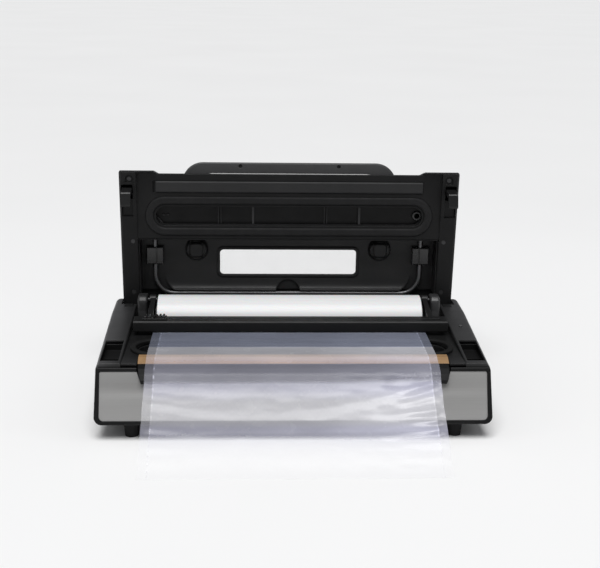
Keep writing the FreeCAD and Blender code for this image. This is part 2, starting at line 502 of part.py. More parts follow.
node("pressure_bar", to_open(soften(box(-153.6, 153.6, -81.4, -68.2, 2.0, 6.5), 2.0,
                                    lambda k: along(k, "x") and k.BoundBox.ZMax < 3)))
gk = ring(CH_HL, CH_R, 9.4, CH_YL, 2.0, 7.0)
gk = soften(gk, 2.4, lambda k: k.BoundBox.ZMax < 2.01)
node("lid_gasket", to_open(gk))
ci = stadium(CH_HL - 8.0, CH_R - 8.0, CH_YL, 8.4, 14.5).cut(stadium(CH_HL - 12.0, CH_R - 12.0, CH_YL, 8.0, 12.8))
ci = fuse([ci] + [box(x, x + w, CH_YL - 10.8, CH_YL + 10.8, 13.0 - h, 13.2)
                  for x, w, h in ((-83.0, 1.2, 2.4), (-80.0, 1.2, 2.4), (-43.6, 2.6, 4.0), (40.0, 1.2, 2.4), (43.0, 1.2, 2.4), (80.0, 2.6, 4.0))])
ci = fuse([ci] + [cylz(10.6, 13.2, x, CH_YL, 1.2) for x in (-145.5, -140.6)] +
          [prism_z([(-153.2, -37.6), (-151.9, -38.4), (-146.6, -31.4), (-147.9, -30.6)], 9.6, 13.2)])
ci = ci.cut(cylz(8, 16, 149.0, CH_YL, 5.4))
node("chamber_insert", to_open(ci))
node("suction_port", to_open(fuse([soften(cylz(9.6, 14.5, 149.0, CH_YL, 5.4), 1.0, lambda k: k.BoundBox.ZMax < 9.7), cylz(14.5, 16.5, 149.0, CH_YL, 7.0),
                                   cylz(16.5, 24.0, 149.0, CH_YL, 4.0)]).cut(cylz(9, 30, 149.0, CH_YL, 3.2))))

# liner with the window, behind the roll when the lid is open
LN_IN, LN_Z = 174.0, 33.0
cove = [(56.0, LN_Z + 1.0), (56.0, 26.2), (54.0, 26.2)] + [(36.0 + 18.0 * math.cos(math.radians(a)), 26.2 + 6.8 * math.sin(math.radians(a)))
                                                             for a in range(8, 90, 8)] + [(36.0, LN_Z), (36.0, LN_Z + 1.0)]
cove = prism_x(cove, -147.0, 147.0).common(rrect_z(-147.0, 147.0, 10.0, 56.0, 18.0, 20, 40))


def boss(x, y):
    # round foot with a rounded plateau on it
    o = fuse([Part.makeCone(11.4, 13.8, LN_Z - 26.6, V(x, y, 26.6)), rrect_z(x - 8.2, x + 8.2, y - 9.6, y + 8.6, 4.6, 23.4, 27.0)])
    return o.makeChamfer(1.8, [k for k in o.Edges if k.BoundBox.ZMax < 23.5])


rim = soften(rrect_z(-84.8, 84.8, 2.6, 40.2, 7.0, LN_Z - 1.5, LN_Z + 0.5), 1.2, lambda k: k.BoundBox.ZMax < LN_Z - 1.4)
liner = fuse([box(-175.4, 175.4, -14.0, -12.0, 5.0, LN_Z + 2.0), box(-175.4, 175.4, -12.0, 56.0, LN_Z, LN_Z + 2.0),
              box(174.0, 175.4, -12.0, 56.0, 9.5, LN_Z), box(-175.4, -174.0, -12.0, 56.0, 9.5, LN_Z),
              cove, rim] + [boss(x, 5.5) for x in (-109.0, 109.0)])
liner = soften(liner, 5.0, lambda k: along(k, "x") and abs(k.CenterOfMass.y + 12.0) < 0.1 and abs(k.CenterOfMass.z - LN_Z) < 0.1)
liner = cut(liner, [rrect_z(-81.4, 81.4, 6.0, 36.8, 4.5, 20, 40), cylz(20, 34.2, 0.0, 58.0, 14.5),
                    cyly(-20, -10, 158.0, 29.0, 2.7), cyly(-20, -10, -158.0, 29.0, 2.7)])
node("lid_liner", to_open(liner))

RY, RR = 59.0, 22.0                 # lower run and bend radius of the wire bail
pts = [V(-158, -14.0, 29), V(-158, RY - RR, 29), V(-158 + RR, RY, 29), V(158 - RR, RY, 29), V(158, RY - RR, 29), V(158, -14.0, 29)]
k = RR * (1 - math.sqrt(0.5))
rod_w = Part.Wire([Part.makeLine(pts[0], pts[1]), Part.Arc(pts[1], V(-158 + k, RY - k, 29), pts[2]).toShape(),
                   Part.makeLine(pts[2], pts[3]), Part.Arc(pts[3], V(158 - k, RY - k, 29), pts[4]).toShape(),
                   Part.makeLine(pts[4], pts[5])])
rod = rod_w.makePipeShell([Part.Wire([Part.makeCircle(2.7, pts[0], V(0, 1, 0))])], True, False)
node("wire_bail", to_open(rod))
clip = soften(box(148.0, 168.4, 1.6, 23.0, 24.6, LN_Z), 1.6, lambda k: k.BoundBox.ZMax < 24.7)
clip = cut(clip, [box(155.4, 156.8, 0.0, 30.0, 24.0, 25.8), cyly(0, 30, 158.0, 29.0, 2.7)])
node("bail_clips", [to_open(c) for c in both(clip)])

ovl = rrect_z(52.0, 160.0, -39.0, -17.0, 3.0, LID_TOP, LID_TOP + 0.4)
ovl = cut(ovl, [rrect_z(x - 8.3, x + 8.3, BY0 - 0.3, BY1 + 0.3, 2.3, 30, 50) for _, x in BTN] + [cylz(30, 50, 146.0, -28.0, 2.0)])
node("control_overlay", to_open(ovl))
node("control_board", to_open(fuse([box(54.0, 158.0, -39.5, -16.5, 29.6, 31.2)] +
                                   [box(x - 3.0, x + 3.0, -31.0, -25.0, 31.2, 32.6) for _, x in BTN])))
for name, x in BTN:
    node(name, to_open(fuse([rrect_z(x - 8.0, x + 8.0, BY0, BY1, 2.0, 35.0, LID_TOP + 1.0), box(x - 2.0, x + 2.0, -30.0, -26.0, 33.6, 35.0)])))
node("status_lens", to_open(fuse([cylz(32.0, LID_TOP + 0.6, 146.0, -28.0, 2.0), cylz(31.2, 32.0, 146.0, -28.0, 2.6)])))

# -------------------------------------------------- lid lock (as locked, closed)
hd = box(-124.0, 124.0, -100.6, -70.0, 13.0, 22.0)
hd = hd.makeFillet(24.0, [e for e in hd.Edges if along(e, "z") and e.CenterOfMass.y < -99])
hd = hd.cut(rrect_z(-99.0, 99.0, -88.2, -40.0, 9.0, 0, 40))
hd = soften(hd, 2.2, lambda e: e.BoundBox.YMin < -92.6 and e.BoundBox.ZLength < 0.01)
hd = fuse([hd] + both(cylx(99.0, 124.0, SY, SZ, 8.0)))
HSX = 57.0
hd = cut(hd, [cylx(-200, 200, SY, SZ, 4.0), cylz(10, 16.2, HSX, -96.1, 2.1), cylz(10, 16.2, -HSX, -96.1, 2.1),
              cylz(10, 20, HSX, -96.1, 1.1), cylz(10, 20, -HSX, -96.1, 1.1)])
node("lid_handle", to_unlocked(hd))
node("handle_screws", [to_unlocked(fuse([cylz(15.2, 16.2, x, -96.1, 2.1), cylz(16.2, 20.0, x, -96.1, 1.1)])) for x in (-HSX, HSX)])
node("lock_shaft", to_unlocked(cylx(-191.4, 191.4, SY, SZ, 4.0)))
HK0, HK1 = 180.1, 191.2
hk = prism_x([(SY + y, SZ + z) for y, z in (
    (-5.0, 2.0), (-3.0, -6.0), (-1.5, -9.0), (1.0, -14.0), (5.0, -22.0), (7.6, -29.0), (8.6, -33.0), (10.4, -34.0), (23.0, -34.0),
    (25.0, -32.8), (25.0, -31.4), (15.0, -31.0), (12.6, -29.0), (11.0, -22.0), (7.4, -12.0), (6.0, 2.0))], HK0, HK1)
hk = soften(hk, 1.2, lambda e: along(e, "x") and abs(e.CenterOfMass.z - SZ + 33.5) < 0.6)
hk = fuse([hk, cylx(HK0, HK1, SY, SZ, 6.4)]).cut(cylx(170, 200, SY, SZ, 4.0))
node("lock_hook_right", to_unlocked(hk))
node("lock_hook_left", to_unlocked(hk.mirror(V(0, 0, 0), V(1, 0, 0))))

# --------------------------------------------------------------------- export
lo = [1e9] * 3
hi = [-1e9] * 3
bad = []
for name in sorted(NODES):
    s = NODES[name]
    if not s.isValid() or s.Volume <= 0:
        bad.append(name)
    b = s.BoundBox
    lo = [min(a, c) for a, c in zip(lo, (b.XMin, b.YMin, b.ZMin))]
    hi = [max(a, c) for a, c in zip(hi, (b.XMax, b.YMax, b.ZMax))]
    s.exportStep("parts/%s.step" % name)
print("nodes", len(NODES), "box", [round(v, 2) for v in lo], [round(v, 2) for v in hi], "bad", bad)
for name in sorted(NODES):
    if len(NODES[name].Solids) != 1:
        print("solids", name, len(NODES[name].Solids))
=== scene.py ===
import bpy, bmesh, json, math
from mathutils import Matrix, Vector, noise


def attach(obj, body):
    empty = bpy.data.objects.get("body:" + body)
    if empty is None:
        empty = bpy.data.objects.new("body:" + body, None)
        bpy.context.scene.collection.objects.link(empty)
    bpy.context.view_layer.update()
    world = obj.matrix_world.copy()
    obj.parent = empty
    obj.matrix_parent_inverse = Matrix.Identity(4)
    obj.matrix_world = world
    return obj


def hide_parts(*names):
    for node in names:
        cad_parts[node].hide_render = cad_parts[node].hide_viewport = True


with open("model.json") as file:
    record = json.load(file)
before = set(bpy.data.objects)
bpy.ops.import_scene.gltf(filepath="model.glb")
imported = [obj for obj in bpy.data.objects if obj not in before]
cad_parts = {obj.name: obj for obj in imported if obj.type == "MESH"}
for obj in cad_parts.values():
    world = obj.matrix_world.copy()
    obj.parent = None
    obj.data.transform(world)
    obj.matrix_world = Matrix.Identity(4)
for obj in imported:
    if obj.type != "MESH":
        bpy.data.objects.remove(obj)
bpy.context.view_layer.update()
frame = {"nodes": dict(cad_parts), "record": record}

NODES = frame["nodes"]
SC = bpy.context.scene
COL = SC.collection

# construction datum (millimetres) to the frame (metres)
DY, DZ = 36.5, 76.0


def P(x, y, z):
    return Vector((x / 1000.0, (y + DY) / 1000.0, (z + DZ) / 1000.0))


def lid(x, y, z):
    # a point given with the lid shut, moved to the standing lid
    return Vector((x / 1000.0, (129.5 + z) / 1000.0, (145.0 - y) / 1000.0))


# ------------------------------------------------------------------ materials
class Tree:
    def __init__(self, name):
        self.m = bpy.data.materials.new(name)
        self.m.use_nodes = True
        self.t = self.m.node_tree
        self.t.nodes.clear()
        self.out = self.t.nodes.new("ShaderNodeOutputMaterial")
        self.b = self.t.nodes.new("ShaderNodeBsdfPrincipled")
        self.link(self.b.outputs[0], self.out.inputs[0])
        self.co = self.t.nodes.new("ShaderNodeTexCoord").outputs["Object"]

    def link(self, a, b):
        self.t.links.new(a, b)

    def new(self, kind):
        return self.t.nodes.new(kind)

    def mapped(self, scale=(1, 1, 1), rot=(0, 0, 0), loc=(0, 0, 0), src=None):
        n = self.new("ShaderNodeMapping")
        n.inputs["Scale"].default_value = scale
        n.inputs["Rotation"].default_value = rot
        n.inputs["Location"].default_value = loc
        self.link(src or self.co, n.inputs["Vector"])
        return n.outputs[0]

    def noise(self, scale, detail=2.0, rough=0.5, src=None, dist=0.0):
        n = self.new("ShaderNodeTexNoise")
        n.inputs["Scale"].default_value = scale
        n.inputs["Detail"].default_value = detail
        n.inputs["Roughness"].default_value = rough
        n.inputs["Distortion"].default_value = dist
        self.link(src or self.co, n.inputs["Vector"])
        return n.outputs["Fac"]

    def voronoi(self, scale, src=None, feature="F1"):
        n = self.new("ShaderNodeTexVoronoi")
        n.feature = feature
        n.inputs["Scale"].default_value = scale
        self.link(src or self.co, n.inputs["Vector"])
        return n.outputs["Distance"]

    def wave(self, scale, direction="X", dist=0.0, src=None, profile="SIN", detail=2.0):
        n = self.new("ShaderNodeTexWave")
        n.bands_direction = direction
        n.wave_profile = profile
        n.inputs["Scale"].default_value = scale
        n.inputs["Distortion"].default_value = dist
        n.inputs["Detail"].default_value = detail
        self.link(src or self.co, n.inputs["Vector"])
        return n.outputs["Fac"]

    def ramp(self, fac, stops):
        n = self.new("ShaderNodeValToRGB")
        r = n.color_ramp
        while len(r.elements) < len(stops):
            r.elements.new(0.5)
        for e, (p, c) in zip(r.elements, stops):
            e.position = p
            e.color = (c[0], c[1], c[2], 1.0)
        self.link(fac, n.inputs[0])
        return n.outputs[0]

    def range(self, fac, a, b, c, d):
        n = self.new("ShaderNodeMapRange")
        n.clamp = True
        for i, v in enumerate((a, b, c, d)):
            n.inputs[1 + i].default_value = v
        self.link(fac, n.inputs[0])
        return n.outputs[0]

    def curve(self, fac, stops):
        # a value that follows (position, value) stops in straight lines
        n = self.new("ShaderNodeValToRGB")
        lo, hi = stops[0][0], stops[-1][0]
        r = n.color_ramp
        while len(r.elements) < len(stops):
            r.elements.new(0.5)
        for e, (p, v) in zip(r.elements, stops):
            e.position = (p - lo) / (hi - lo)
            e.color = (v, v, v, 1.0)
        self.link(self.range(fac, lo, hi, 0.0, 1.0), n.inputs[0])
        return n.outputs[0]

    def math(self, op, a, b=None):
        n = self.new("ShaderNodeMath")
        n.operation = op
        for i, v in enumerate((a, b)):
            if v is None:
                continue
            if isinstance(v, (int, float)):
                n.inputs[i].default_value = v
            else:
                self.link(v, n.inputs[i])
        return n.outputs[0]

    def scale(self, colour, fac):
        n = self.new("ShaderNodeVectorMath")
        n.operation = "SCALE"
        self.link(colour, n.inputs[0])
        self.link(fac, n.inputs["Scale"])
        return n.outputs[0]

    def xyz(self, src=None):
        n = self.new("ShaderNodeSeparateXYZ")
        self.link(src or self.co, n.inputs[0])
        return n.outputs

    def bump(self, height, strength, distance, edge=0.0006):
        n = self.new("ShaderNodeBump")
        n.inputs["Strength"].default_value = strength
        n.inputs["Distance"].default_value = distance
        self.link(height, n.inputs["Height"])
        if edge:
            e = self.new("ShaderNodeBevel")
            e.samples = 6
            e.inputs["Radius"].default_value = edge
            self.link(e.outputs[0], n.inputs["Normal"])
        self.link(n.outputs[0], self.b.inputs["Normal"])
        return n

    def set(self, **kw):
        for k, v in kw.items():
            self.b.inputs[k.replace("_", " ")].default_value = v

    def use(self, what, out):
        self.link(out, self.b.inputs[what])


def plastic(name, dark, light, rough, spread=0.06, grain=1900.0, depth=0.00006, spec=0.3, blotch=14.0, coat=0.0, edge=0.0011, shade=None, pocket_shade=None):
    """Moulded plastic: faint flow marks in the colour, spark-eroded grain in the bump, uneven sheen.
    shade is (axis, a, b, factor at a, factor at b): painted light and shade, the colour scaled between two heights or
    depths to stand in for how the light falls.
    well is (half width, height, factor): painted shade, the inside of an open pocket, below that height, is painted
    darker."""
    t = Tree(name)
    flow = t.noise(blotch, 5.0, 0.6)
    speck = t.noise(grain * 0.35, 1.0, 0.5)
    both = t.math("ADD", t.math("MULTIPLY", flow, 0.72), t.math("MULTIPLY", speck, 0.28))
    colour = t.ramp(both, [(0.30, dark), (0.72, light)])
    # painted light and shade: the colour is scaled along one axis
    if shade:
        axis, a, b, fa, fb = shade
        colour = t.scale(colour, t.range(t.xyz()[axis], a, b, fa, fb))
    # painted shade: the colour is darkened inside an open pocket, below the given height
    if pocket_shade:
        half, high, fac = pocket_shade
        p = t.xyz()
        inside = t.math("MULTIPLY", t.range(t.math("ABSOLUTE", p[0]), half, half + 0.0006, 1.0, 0.0), t.range(p[2], high - 0.002, high, 1.0, 0.0))
        colour = t.scale(colour, t.range(inside, 0.0, 1.0, 1.0, fac))
    t.use("Base Color", colour)
    t.use("Roughness", t.range(t.noise(46.0, 4.0, 0.6), 0.3, 0.7, rough - spread, rough + spread))
    t.bump(t.noise(grain, 2.0, 0.55), 0.55, depth, edge)
    t.set(Specular_IOR_Level=spec, Coat_Weight=coat, Coat_Roughness=0.2)
    return t.m


def grey(v, blue=1.03):
    return (v, v, v * blue)


M = {}
M["black_plastic"] = plastic("black_moulding", grey(0.0045), grey(0.0080), 0.44, spec=0.20)
M["arm_plastic"] = plastic("satin_black_moulding", grey(0.0085), grey(0.014), 0.38, spec=0.34)
M["inner_plastic"] = plastic("dark_grey_moulding", grey(0.0085), grey(0.0135), 0.40, spec=0.30)
M["handle_plastic"] = plastic("handle_moulding", grey(0.034), grey(0.046), 0.46, spec=0.38)
M["plug_plastic"] = plastic("ribbed_moulding", grey(0.008), grey(0.014), 0.38, spec=0.36, edge=0.0006)
M["button_grey"] = plastic("key_cap", grey(0.045), grey(0.060), 0.32, spec=0.45, depth=0.00002)
M["pump_plastic"] = plastic("pump_moulding", grey(0.05), grey(0.08), 0.5)
M["overlay"] = plastic("gloss_overlay", grey(0.006), grey(0.010), 0.16, spread=0.04, depth=0.00001, spec=0.5, edge=0.0003)
M["phenolic"] = plastic("insulating_bar", (0.030, 0.020, 0.013), (0.055, 0.036, 0.022), 0.55)
M["foot_rubber"] = plastic("foot_rubber", grey(0.006), grey(0.012), 0.72, spec=0.2, grain=2600.0)
M["silicone"] = plastic("matt_silicone", grey(0.0155), grey(0.0220), 0.55, spec=0.30, grain=2400.0, depth=0.00004)
M["hose_rubber"] = plastic("clear_hose", grey(0.40), grey(0.50), 0.3)
# looks of single pieces
OWN = {
    # painted light: the liner is painted up to 2.2 times lighter towards its bottom, where the light from above falls
    # into the lid
    "lid_liner": plastic("liner_moulding", grey(0.0085), grey(0.0125), 0.40, spec=0.30, edge=0.0026, shade=(2, 0.132, 0.092, 1.0, 2.2)),
    # painted shade: the insert is painted darker deep in its recess and far lighter on its raised faces
    "chamber_insert": plastic("insert_moulding", grey(0.0032), grey(0.0050), 0.40, spec=0.18, edge=0.0007, shade=(1, 0.1420, 0.1388, 1.0, 9.0)),
    "suction_port": plastic("port_moulding", grey(0.012), grey(0.018), 0.28, spec=0.6),
    "bail_clips": plastic("clip_moulding", grey(0.011), grey(0.016), 0.24, spec=0.62, depth=0.00003),
    # painted light: the side casings are painted lighter towards their outer shoulders; painted shade darkens the
    # inside of the latch slots
    "left_side_casing": plastic("casing_moulding_l", grey(0.0130), grey(0.0205), 0.38, spec=0.36, shade=(0, -0.181, -0.200, 1.0, 2.9), pocket_shade=(0.1992, 0.0715, 0.13)),
    "right_side_casing": plastic("casing_moulding_r", grey(0.0130), grey(0.0205), 0.38, spec=0.36, shade=(0, 0.181, 0.200, 1.15, 1.75), pocket_shade=(0.1992, 0.0715, 0.13)),
    "roll_stand_left": plastic("stand_moulding_l", grey(0.0150), grey(0.0220), 0.38, spec=0.36),
    # painted highlight: the right roll stand is a lighter, glossier copy of the left stand's moulding, standing in for
    # the light on it
    "roll_stand_right": plastic("stand_moulding_r_painted_highlight", grey(0.0240), grey(0.0340), 0.30, spec=0.50),
    # painted light: the deck is painted lighter towards its front tongue, where the light falls on it
    "chamber_deck": plastic("deck_moulding", grey(0.0048), grey(0.0085), 0.42, spec=0.24, edge=0.0020, shade=(1, -0.030, -0.050, 1.0, 2.6)),
    # painted light: the lid frame is painted lighter towards its bottom, where the light falls into the lid
    "lid_frame": plastic("lid_frame_moulding", grey(0.0043), grey(0.0078), 0.44, spec=0.20, shade=(2, 0.190, 0.085, 1.0, 1.7)),
    "film_ramp": plastic("ramp_moulding", grey(0.0050), grey(0.0085), 0.52, spec=0.16, depth=0.00001),
    "cutter_frame": plastic("cutter_moulding", grey(0.0080), grey(0.0120), 0.40, spec=0.27),
    "lock_hook_left": plastic("hook_moulding_l", grey(0.0075), grey(0.0115), 0.34, spec=0.32),
    "lock_hook_right": plastic("hook_moulding_r", grey(0.0075), grey(0.0115), 0.34, spec=0.32),
}


def foam(name, dark, light):
    t = Tree(name)
    cells = t.voronoi(1500.0)
    t.use("Base Color", t.ramp(t.math("ADD", t.math("MULTIPLY", cells, 0.5), t.math("MULTIPLY", t.noise(30.0, 4.0), 0.6)),
                               [(0.25, dark), (0.75, light)]))
    t.use("Roughness", t.range(t.noise(120.0, 3.0), 0.3, 0.7, 0.62, 0.82))
    t.bump(cells, 0.6, 0.00010)
    t.set(Specular_IOR_Level=0.22)
    return t.m


M["foam_rubber"] = foam("seal_foam", grey(0.0085), grey(0.0150))
OWN["lower_gasket"] = foam("deck_foam", grey(0.0030), grey(0.0055))


def brushed(name, dark, light, rough, along="X", scale=900.0, depth=0.00002, metal=1.0, drift=None, calm=1.0):
    """Metal drawn through a brush along one axis: long streaks in colour, sheen and bump."""
    t = Tree(name)
    s = {"X": (0.012, 1, 1), "Y": (1, 0.012, 1), "Z": (1, 1, 0.012)}[along]
    fine = t.noise(scale, 3.0, 0.6, src=t.mapped(s))
    coarse = t.noise(scale * 0.16, 3.0, 0.6, src=t.mapped(s, loc=(0.3, 0.2, 0.1)))
    mix = t.math("ADD", t.math("MULTIPLY", fine, 0.62), t.math("MULTIPLY", coarse, 0.38))
    colour = t.ramp(mix, [(0.30, dark), (0.70, light)])
    # painted light and shade: the colour is scaled by height when a curve is given
    if drift:
        colour = t.scale(colour, t.curve(t.xyz()[2], drift))
    t.use("Base Color", colour)
    t.use("Roughness", t.range(mix, 0.3, 0.7, rough + 0.09 * calm, rough - 0.07 * calm))
    t.bump(fine, 0.45, depth)
    t.set(Metallic=metal, Anisotropic=0.5)
    return t.m


# painted light and shade: the steel panel is painted lighter at top and bottom, where the lip and floor shade it, and
# darker across its middle, where it reflects a bright band
M["brushed_steel"] = brushed("brushed_steel", (0.281, 0.278, 0.273), (0.299, 0.297, 0.294), 0.54, metal=0.6, calm=0.5,
                             drift=[(0.022, 1.42), (0.032, 1.33), (0.0363, 1.28), (0.0404, 1.20), (0.0445, 1.09), (0.0486, 0.97), (0.0527, 0.96),
                                    (0.0567, 1.04), (0.0608, 1.12), (0.065, 1.21), (0.070, 1.31)])
M["element"] = brushed("resistance_strip", (0.30, 0.28, 0.25), (0.45, 0.42, 0.37), 0.3)
M["pin_steel"] = brushed("ground_pin", grey(0.36, 1.0), grey(0.52, 1.0), 0.26)
M["blade_steel"] = brushed("ground_blade", grey(0.50, 1.0), grey(0.66, 1.0), 0.22, along="Z")
M["motor_metal"] = brushed("plated_can", grey(0.30, 1.0), grey(0.42, 1.0), 0.34)
M["iron_core"] = brushed("laminated_core", (0.07, 0.06, 0.055), (0.13, 0.115, 0.10), 0.55, along="Y", metal=0.7)


def enamel(name, dark, light, rough, spec=0.5, coat=0.0, metal=0.0, depth=0.00005, edge=0.0006):
    t = Tree(name)
    t.use("Base Color", t.ramp(t.noise(60.0, 4.0), [(0.3, dark), (0.7, light)]))
    t.use("Roughness", t.range(t.noise(220.0, 3.0), 0.3, 0.7, rough - 0.05, rough + 0.06))
    t.bump(t.noise(420.0, 2.0), 0.25, depth, edge)
    t.set(Specular_IOR_Level=spec, Coat_Weight=coat, Coat_Roughness=0.08, Metallic=metal)
    return t.m


M["black_wire"] = enamel("dark_chrome_wire", grey(0.108), grey(0.138), 0.34, spec=0.5, metal=0.85, depth=0.000006, edge=0)
M["zinc_screw"] = brushed("blackened_screw", grey(0.034), grey(0.058), 0.40, metal=0.7)
for name in ("cutter_pivot_pins", "hinge_pins"):
    OWN[name] = brushed("dark_" + name, grey(0.045), grey(0.08), 0.40, metal=0.8)


def weave(name, dark, light, pitch):
    """Coated woven cloth: crossed threads under a thin coat."""
    t = Tree(name)
    a = t.wave(math.pi / pitch / 10.0, "X", 0.6)
    b = t.wave(math.pi / pitch / 10.0, "Y", 0.6)
    w = t.math("MULTIPLY", t.math("ADD", a, b), 0.5)
    n = t.noise(26.0, 5.0, 0.65)
    t.use("Base Color", t.ramp(t.math("ADD", t.math("MULTIPLY", n, 0.7), t.math("MULTIPLY", w, 0.3)), [(0.28, dark), (0.75, light)]))
    t.use("Roughness", t.range(n, 0.3, 0.7, 0.30, 0.46))
    t.bump(w, 0.5, 0.00008)
    t.set(Specular_IOR_Level=0.45)
    return t.m


M["ptfe_cloth"] = weave("coated_glass_cloth", (0.20, 0.114, 0.050), (0.37, 0.225, 0.108), 0.0006)


def wound(name):
    """Film wound on a roll: fine lines along the roll, layers on the ends."""
    t = Tree(name)
    s = t.xyz()
    rad = t.math("SQRT", t.math("ADD", t.math("POWER", t.math("SUBTRACT", s[1], 0.0985), 2.0),
                                t.math("POWER", t.math("SUBTRACT", s[2], 0.071), 2.0)))
    comb = t.new("ShaderNodeCombineXYZ")
    t.link(rad, comb.inputs[0])
    layer = t.wave(320.0, "X", 1.2, src=comb.outputs[0])
    streak = t.noise(240.0, 3.0, 0.6, src=t.mapped((0.02, 1, 1)))
    mix = t.math("ADD", t.math("MULTIPLY", streak, 0.65), t.math("MULTIPLY", layer, 0.35))
    t.use("Base Color", t.ramp(mix, [(0.22, (0.675, 0.677, 0.682)), (0.62, (0.752, 0.753, 0.755))]))
    t.use("Roughness", t.range(streak, 0.3, 0.7, 0.26, 0.40))
    t.bump(mix, 0.25, 0.00008)
    t.set(Specular_IOR_Level=0.45, Subsurface_Weight=0.12, Subsurface_Scale=0.004)
    return t.m


M["film_wound"] = wound("wound_film")


def board(name, dark, light, grain):
    t = Tree(name)
    n = t.noise(grain, 5.0, 0.65)
    t.use("Base Color", t.ramp(n, [(0.3, dark), (0.7, light)]))
    t.use("Roughness", t.range(n, 0.3, 0.7, 0.55, 0.8))
    t.bump(n, 0.4, 0.0001)
    return t.m


M["cardboard"] = board("wound_board", (0.30, 0.21, 0.12), (0.45, 0.33, 0.20), 260.0)
M["circuit_board"] = board("printed_board", (0.004, 0.035, 0.014), (0.010, 0.075, 0.030), 420.0)


def clear(name, tint, alpha, rough):
    """Thin clear sheet: mostly seen through, with its own gloss and faint haze."""
    t = Tree(name)
    n = t.noise(24.0, 4.0, 0.6)
    t.use("Base Color", t.ramp(n, [(0.3, tuple(c * 0.9 for c in tint)), (0.7, tint)]))
    t.use("Alpha", t.range(n, 0.3, 0.7, alpha * 0.8, alpha * 1.2))
    t.use("Roughness", t.range(n, 0.3, 0.7, rough, rough + 0.05))
    t.bump(t.noise(70.0, 2.0), 0.08, 0.0001)
    t.set(Specular_IOR_Level=0.5)
    return t.m


M["clear_window"] = clear("clear_pane", (0.93, 0.94, 0.945), 0.075, 0.06)
M["lens_green"] = clear("light_pipe", (0.10, 0.42, 0.14), 0.85, 0.18)


def film_look(name):
    """Embossed two-ply film: haze that changes along the film, partly its own haze and partly painted light and
    reflection, a painted highlight towards the right where the folds catch the light, clear welded seams with painted
    glints along their inner edge, a fine quilted emboss.
    """
    t = Tree(name)
    s = t.xyz()
    x = t.math("ABSOLUTE", t.math("ADD", s[0], 0.0016))
    y = s[1]
    # haze along the film: partly the film's own haze, partly painted light and reflection where the film catches the
    # overhead light, over the strip and on the front slope
    haze = t.curve(y, [(-0.170, 0.10), (-0.150, 0.11), (-0.140, 0.13), (-0.131, 0.19), (-0.120, 0.40), (-0.084, 0.41), (-0.0728, 0.385), (-0.0700, 0.23), (-0.054, 0.21),
                       (-0.044, 0.40), (-0.030, 0.46), (-0.0112, 0.48), (-0.0098, 0.26), (0.030, 0.24), (0.060, 0.30)])
    # painted highlight: the film is made hazier, so lighter, towards its right side, where the folds catch the light
    painted_highlight_right = t.curve(y, [(-0.170, 0.55), (-0.086, 0.55), (-0.076, 0.38), (-0.046, 0.38), (-0.0112, 0.36), (-0.0098, 0.18), (0.060, 0.18)])
    haze = t.math("MULTIPLY", haze, t.math("ADD", t.math("MULTIPLY", painted_highlight_right, t.range(s[0], 0.02, 0.120, 0.0, 1.0)), t.range(s[0], -0.120, 0.02, 0.95, 1.0)))
    cloud = t.range(t.noise(30.0, 3.0, 0.6, src=t.mapped((0.35, 1, 1))), 0.3, 0.7, 0.90, 1.10)
    quilt = t.math("MULTIPLY", t.wave(95.0, "DIAGONAL", 0.0, src=t.mapped((1, 1, 0))), t.wave(95.0, "DIAGONAL", 0.0, src=t.mapped((-1, 1, 0))))
    seam = t.range(x, 0.1408, 0.1418, 1.0, 0.66)
    # the bright line along the inner edge of each welded seam: the seam's edge, with painted glints along it
    line = t.math("MULTIPLY", t.range(x, 0.1396, 0.1406, 0.0, 1.0), t.range(x, 0.1408, 0.1418, 1.0, 0.0))
    speck = t.range(t.noise(210.0, 2.0, 0.6, src=t.mapped((0.3, 1, 1))), 0.42, 0.62, 0.0, 0.20)
    a = t.math("MULTIPLY", t.math("MULTIPLY", haze, cloud), seam)
    a = t.math("ADD", a, t.math("MULTIPLY", line, speck))
    a = t.math("ADD", a, t.math("MULTIPLY", t.math("SUBTRACT", quilt, 0.3), 0.008))
    t.use("Alpha", a)
    t.use("Base Color", t.ramp(t.range(y, -0.150, -0.010, 0.0, 1.0),
                               [(0.0, (0.745, 0.742, 0.800)), (0.14, (0.715, 0.715, 0.865)), (0.24, (0.715, 0.715, 0.865)), (0.29, (0.745, 0.742, 0.800)), (0.43, (0.745, 0.742, 0.800)),
                                (0.51, (0.690, 0.690, 0.850)), (0.74, (0.700, 0.700, 0.850)), (0.81, (0.745, 0.742, 0.800)), (0.985, (0.745, 0.745, 0.805)), (1.0, (0.63, 0.68, 0.88))]))
    t.use("Roughness", t.range(t.noise(60.0, 2.0), 0.3, 0.7, 0.20, 0.30))
    t.bump(t.math("ADD", t.math("MULTIPLY", quilt, 0.05), t.noise(160.0, 3.0, 0.6)), 0.05, 0.0002, edge=0)
    t.set(Specular_IOR_Level=0.6, Coat_Weight=0.25, Coat_Roughness=0.12)
    return t.m


M["film"] = film_look("embossed_film")


SLOT_OF = {}
for sub in frame["record"]["subparts"]:
    SLOT_OF[sub["node"]] = sub["material_slot"]
for name, obj in NODES.items():
    obj.data.materials.clear()
    obj.data.materials.append(OWN.get(name) or M[SLOT_OF[name]])
    for f in obj.data.polygons:
        f.material_index = 0

# painted shade: a darker moulding laid on the faces inside the latch slots
SLOT_PAINTED_SHADE = plastic("slot_painted_shade", grey(0.0045), grey(0.0070), 0.60, spec=0.14)
for name in ("left_side_casing", "right_side_casing"):
    me = NODES[name].data
    me.materials.append(SLOT_PAINTED_SHADE)
    for f in me.polygons:
        if 0.180 < abs(f.center.x) < 0.2004 and -0.024 < f.center.y < 0.0127 and 0.050 < f.center.z < 0.0716:
            f.material_index = 1


# ------------------------------------------------------------------ film sheet
FILM_HW, FILM_SHIFT = 150.0, -1.6


def smooth(a, b, v):
    t = min(1.0, max(0.0, (v - a) / (b - a)))
    return t * t * (3.0 - 2.0 * t)


